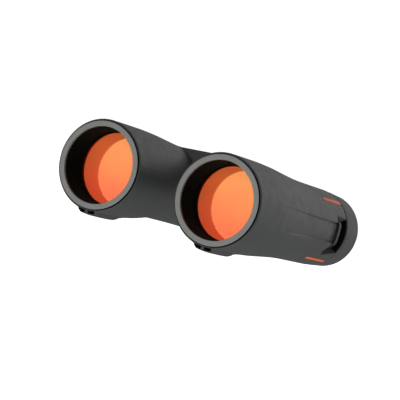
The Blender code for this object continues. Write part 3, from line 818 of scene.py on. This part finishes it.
def make_eyepiece(tag, side, materials):
    """Stepped eyepiece tube, its eye lens, and the twist-up cup."""
    tube = rounded([
        (14.2, 111.8, 0.2), (16.1, 111.8, 0.2), (16.1, 126.0, 0.1), (18.6, 126.0, 0.2),
        (18.6, 127.5, 0.3), (16.9, 127.5, 0.2), (16.9, 143.0, 0.5), (15.6, 143.0, 0.3),
        (15.2, 142.4, 0.2), (12.0, 141.6, 0.3), (11.2, 141.0, 0.2), (12.4, 140.2, 0),
        (12.4, 130.0, 0.5), (14.2, 128.0, 0.5),
    ])
    piece = turned(f"stepped_eyepiece_{tag}", tube, materials["hood"], side)
    settle(piece, f"barrel_{tag}", "hood_black", f"eyepiece_tube_{tag}")

    shares = np.linspace(0.0, 1.0, 17)
    front = [(12.1 * s, 133.6 - 1.6 * (1 - s * s)) for s in shares]
    rear = [(12.1 * s, 138.6 + 1.2 * (1 - s * s)) for s in shares]
    piece = turned(f"eye_lens_{tag}_coated", front + rear[::-1], materials["eye"], side)
    settle(piece, f"barrel_{tag}", "eyepiece_glass", f"eye_lens_{tag}")

    cup = rounded([
        (18.9, 126.4, 0.15), (21.7, 126.4, 0.2), (21.7, SEAM_END_Y, 0), (22.15, 127.5, 0.2),
        (22.05, 133.7, 2), (21.65, 140.2, 2),
        (21.45, REAR_Y - 1.2, 1.0), (20.6, REAR_Y, 0.9), (16.2, REAR_Y, 1.0), (14.6, REAR_Y - 1.6, 1.0),
        (14.9, 143.4, 0.4), (18.5, 143.4, 0.2), (18.5, 128.4, 0.2), (18.9, 128.0, 0.1),
    ], 6)
    piece = turned(f"soft_eyecup_{tag}", cup, materials["eyecup"], side)
    # The eyecup's faces ahead of SEAM_END_Y take the black hood paint: painted shade in the seam between the
    # armour and the eyecup.
    recoloured(piece, materials["hood"], lambda _, y, normal: y < SEAM_END_Y)
    settle(piece, f"eyecup_{tag}", "eyecup_rubber", f"eyecup_{tag}")


def make_strap_bar(tag, side, materials):
    """Bar across the strap pocket, standing on two legs."""
    outline = rounded([
        (16.9, -7.0, 0.1), (19.2, -7.3, 0.8), (20.4, -6.9, 0.8), (21.25, -5.2, 1.6), (21.6, 0.0, 4.0),
        (21.25, 5.2, 1.6), (20.4, 6.9, 0.8), (19.2, 7.3, 0.8), (16.9, 7.0, 0.1), (16.9, 5.7, 0.1),
        (18.6, 5.6, 0.5), (19.35, 4.7, 0.9), (19.6, 0.0, 3.5), (19.35, -4.7, 0.9), (18.6, -5.6, 0.5),
        (16.9, -5.7, 0.1),
    ])
    points, faces = prism_y(outline, *BAR_Y)
    bar = mesh_object(f"bent_strap_bar_{tag}", points, faces, side, material=materials["bar"])
    bevelled(bar, 0.55)
    settle(bar, f"barrel_{tag}", "bar_metal", f"strap_bar_{tag}")


def make_marks(tag, side, materials):
    """Two coloured inlays with rounded ends, sunk in the armour."""
    for name, (angle, width) in MARKS.items():
        half = width / 2
        turn = math.radians(angle)
        outline = []
        for y, start in ((MARK_Y[1] - half, -90), (MARK_Y[0] + half, 90)):
            for step in range(9):
                bend = math.radians(start + 180 * step / 8)
                outline.append((half * math.sin(bend), y + half * math.cos(bend)))
        points = []
        for radius in MARK_RADII:
            for across, y in outline:
                x = radius * math.cos(turn) - across * math.sin(turn)
                z = radius * math.sin(turn) + across * math.cos(turn)
                points.append((x, y, z))
        count = len(outline)
        faces = [list(range(count)), list(range(count, 2 * count))] + side_faces(count)
        mark = mesh_object(f"orange_inlay_{name}_{tag}", points, faces, side, material=materials["mark"])
        bevelled(mark, 0.12, 2)
        settle(mark, f"barrel_{tag}", "accent_orange", f"{name}_mark_{tag}")


# ---------------------------------------------------------------- hinge and focus drive


def hub_piece(name, outline, material, body, slot, *nodes, segments=SMALL_ROUND):
    """Turned piece on the hinge's axis."""
    piece = turned(name, rounded(outline), material, 1, PIN_AT, segments)
    return settle(piece, body, slot, *nodes)


def ribbed_ring(name, bore, outer, depth, ribs, y0, y1, material, edge=0.6):
    """Ring with rounded finger ribs and soft ends, on the hinge's axis."""
    ys = stations(near_edge(y0, 0, edge, 5), near_edge(y1, edge, 0, 5), np.linspace(y0 + edge, y1 - edge, 8))
    angles = np.arange(ribs * 10) * 360.0 / (ribs * 10)
    wave = 0.5 + 0.5 * np.cos(np.radians(angles * ribs))
    groove = depth * (1 - wave**0.45)
    past = np.array([max(y0 + edge - y, y - y1 + edge, 0.0) / edge for y in ys])
    drop = edge * (1 - np.sqrt(np.maximum(1 - past**2, 0.0)))
    radii = outer - drop[:, None] - groove[None, :] * (1 - past[:, None] ** 2)
    inner = [(y1, bore), (y0, bore)]
    return shell(name, ys, angles, radii, inner, material, 1, PIN_AT)


def make_hinge_core(materials):
    """Front cap, tripod plug, washers and the dial's screw."""
    housing, body = materials["housing"], "hinge_core"
    bore = PIN_R + RUNNING
    hub_piece(
        "turned_front_cap",
        [(5.6, 64.0, 0.2), (8.0, 64.0, 0.5), (8.0, 70.2, 0.6), (12.6, 70.4, 0.5), (HUB_R, 71.0, 0.5),
         (HUB_R, 73.0, 0.15), (11.3, 73.0, 0.1), (11.3, 76.4, 0.1), (bore, 76.4, 0.1),
         (bore, 72.4, 0.1), (5.6, 72.4, 0.1)],
        housing, body, "housing_paint", "front_cap",
    )
    plug = turned(
        "slotted_tripod_plug",
        rounded([(0.0, 64.1, 0), (5.3, 64.1, 0.35), (5.3, 66.0, 0.2), (2.8, 66.0, 0.1),
                 (2.8, 71.0, 0.4), (0.0, 71.0, 0)]),
        materials["housing"], 1, PIN_AT, SMALL_ROUND,
    )
    slot = [(-8.0, -0.7), (8.0, -0.7), (8.0, 0.7), (-8.0, 0.7)]
    boolean(plug, "DIFFERENCE", *prism_y(slot, 63.0, 65.1), at=PIN_AT)
    smooth(plug)
    settle(plug, body, "housing_paint", "tripod_cap")
    for name, y in (("front", 87.6), ("middle", 101.7), ("rear", 115.3)):
        hub_piece(
            f"thin_washer_{name}",
            [(5.3, y, 0.05), (12.8, y, 0.15), (12.8, y + 0.6, 0.15), (5.3, y + 0.6, 0.05)],
            materials["washer"], body, "washer_plastic", f"washer_{name}",
        )
    screw = turned(
        "dial_screw_polished",
        rounded([(0.0, 131.5, 0), (2.4, 131.5, 0.2), (2.4, 136.0, 0.1), (6.2, 136.0, 0.2),
                 (6.2, 137.2, 0.6), (4.8, 137.6, 0.4), (0.0, 137.6, 0)]),
        materials["steel"], 1, PIN_AT, SMALL_ROUND,
    )
    hexagon = [(1.7 * math.cos(math.radians(a)), 1.7 * math.sin(math.radians(a))) for a in range(0, 360, 60)]
    boolean(screw, "DIFFERENCE", *prism_y(hexagon, 136.2, 139.0), at=PIN_AT)
    smooth(screw)
    settle(screw, body, "steel", "dial_screw")


def make_focus_drive(materials):
    """Focus wheel between two turned rims, its rubber grip, and the diopter dial."""
    bore = PIN_R + RUNNING
    hub_piece(
        "turned_focus_wheel",
        [(bore, 118.9, 0.1), (10.0, 118.9, 0.1), (10.0, 116.3, 0.1), (12.6, 116.3, 0.4),
         (12.6, 117.3, 0.25), (11.5, 117.3, 0.1), (11.5, 129.8, 0.1), (12.6, 129.8, 0.25),
         (12.6, 130.8, 0.4), (9.9, 130.8, 0.3), (9.6, 130.5, 0.2), (bore, 130.5, 0.1),
         (bore, 129.6, 0), (8.0, 129.6, 0.1), (8.0, 120.1, 0.1), (bore, 120.1, 0)],
        materials["wheel"], "focus_wheel", "wheel_metal", "focus_wheel",
    )
    grip = ribbed_ring("ribbed_grip", 11.75, 13.2, 0.75, 30, 117.5, 129.6, materials["grip"])
    settle(grip, "focus_wheel", "grip_rubber", "wheel_grip")
    dial = ribbed_ring("ribbed_diopter_dial", bore, 9.5, 0.35, 36, 131.2, 135.6, materials["wheel"], 0.5)
    settle(dial, "diopter_dial", "wheel_metal", "diopter_dial")


def dress_carried_nodes(materials):
    """Better materials for the CAD nodes that keep their own shape."""
    wanted = {
        "hinge_pin": "steel", "hinge_nut": "steel", "tripod_bush": "brass", "focus_carriage": "brass",
        "focus_chamber": "housing", "focus_cell": "brass", "lens_sleeve": "hood", "focus_lens": "glass",
        "lens_cell": "hood", "objective_seal": "seal", "baffle_tube": "hood", "prism_cage": "cage",
        "prism_front": "glass", "prism_rear": "glass", "field_lens": "glass",
        "eyecup_glide": "washer",
    }
    for node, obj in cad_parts.items():
        kind = node.removesuffix("_right").removesuffix("_left")
        if kind in wanted:
            obj.data.materials.clear()
            obj.data.materials.append(materials[wanted[kind]])


# ---------------------------------------------------------------- studio


def direction(azimuth, elevation):
    """Unit vector; azimuth counts from -Y towards +X, in degrees."""
    turn, lift = math.radians(azimuth), math.radians(elevation)
    return Vector((math.sin(turn) * math.cos(lift), -math.cos(turn) * math.cos(lift), math.sin(lift)))


def make_floor():
    """Broad white floor that glows like an overexposed studio sweep."""
    mesh = bpy.data.meshes.new("studio_floor")
    low = CAD_BOX[0].z - FLOOR_DROP * MM
    corners = [(FLOOR_HALF * x, FLOOR_HALF * y, low) for x, y in ((-1, -1), (1, -1), (1, 1), (-1, 1))]
    mesh.from_pydata(corners, [], [(0, 1, 2, 3)])
    floor = bpy.data.objects.new("studio_floor", mesh)
    bpy.context.collection.objects.link(floor)
    material = bpy.data.materials.new("white_floor")
    material.use_nodes = True
    shader = material.node_tree.nodes["Principled BSDF"]
    shader.inputs["Base Color"].default_value = (0.8, 0.8, 0.8, 1.0)
    shader.inputs["Roughness"].default_value = 0.9
    shader.inputs["Specular IOR Level"].default_value = 0.0
    shader.inputs["Emission Color"].default_value = (1.0, 1.0, 1.0, 1.0)
    shader.inputs["Emission Strength"].default_value = 1.0
    mesh.materials.append(material)
    # The camera sees the floor, but it neither lights the object nor shows in its reflections
    floor.visible_diffuse = False
    floor.visible_glossy = False


def make_world():
    """White for the camera; for the object, dim ambient light and soft lights from several sides."""
    world = bpy.data.worlds.new("white_studio")
    world.use_nodes = True
    tree = world.node_tree

    def combine(operation, first, second):
        made = tree.nodes.new("ShaderNodeMath")
        made.operation = operation
        for socket, value in zip(made.inputs, (first, second)):
            feed(tree, socket, value)
        return made.outputs[0]

    where = tree.nodes.new("ShaderNodeTexCoord").outputs["Generated"]
    total = AMBIENT
    for azimuth, elevation, tightness, strength in SOFT_LIGHTS:
        facing = tree.nodes.new("ShaderNodeVectorMath")
        facing.operation = "DOT_PRODUCT"
        tree.links.new(where, facing.inputs[0])
        facing.inputs[1].default_value = direction(azimuth, elevation)
        lobe = combine("POWER", combine("MAXIMUM", facing.outputs["Value"], 0.0), tightness)
        total = combine("ADD", combine("MULTIPLY", lobe, strength), total)
    seen = tree.nodes.new("ShaderNodeLightPath").outputs["Is Camera Ray"]
    strength = combine("MAXIMUM", combine("MULTIPLY", seen, BACKDROP), total)
    tree.links.new(strength, tree.nodes["Background"].inputs["Strength"])
    tree.nodes["Background"].inputs["Color"].default_value = (1.0, 1.0, 1.0, 1.0)
    bpy.context.scene.world = world


def add_area_light(name, place, target, size, power):
    data = bpy.data.lights.new(name, "AREA")
    data.shape = "DISK"
    data.size = size
    data.energy = power
    light = bpy.data.objects.new(name, data)
    bpy.context.collection.objects.link(light)
    light.location = place
    light.rotation_euler = (Vector(target) - Vector(place)).to_track_quat("-Z", "Y").to_euler()


def make_camera():
    """Camera nearly level with the barrels, rolled, seeing the objectives from the right."""
    azimuth, roll = math.radians(VIEW_AZIMUTH), math.radians(VIEW_ROLL)
    back = direction(VIEW_AZIMUTH, VIEW_ELEVATION)
    level = Vector((math.cos(azimuth), math.sin(azimuth), 0.0))
    upright = back.cross(level)
    right = level * math.cos(roll) + upright * math.sin(roll)
    up = upright * math.cos(roll) - level * math.sin(roll)
    data = bpy.data.cameras.new("camera")
    data.lens = VIEW_LENS
    camera = bpy.data.objects.new("camera", data)
    bpy.context.collection.objects.link(camera)
    aim = Vector((0.0, RIM_Y, AXIS_Z)) + right * VIEW_SHIFT[0] + up * VIEW_SHIFT[1]
    turn = Matrix((right, up, back)).transposed().to_4x4()
    camera.matrix_world = Matrix.Translation((aim + back * VIEW_DISTANCE) * MM) @ turn
    bpy.context.scene.camera = camera


def make_studio():
    make_camera()
    make_floor()
    make_world()
    add_area_light("key_light", KEY_PLACE, (0.0, 0.0, AXIS_Z * MM), KEY_SIZE, KEY_POWER)
    bpy.context.scene.view_settings.view_transform = "Standard"


def main():
    make_studio()
    materials = make_materials()
    for tag, side in SIDES.items():
        make_armour(tag, side, materials)
        make_housing(tag, side, materials)
        make_knuckle(tag, side, materials)
        make_front(tag, side, materials)
        make_lens(tag, side, materials)
        make_eyepiece(tag, side, materials)
        make_strap_bar(tag, side, materials)
        make_marks(tag, side, materials)
    make_hinge_core(materials)
    make_focus_drive(materials)
    dress_carried_nodes(materials)


main()
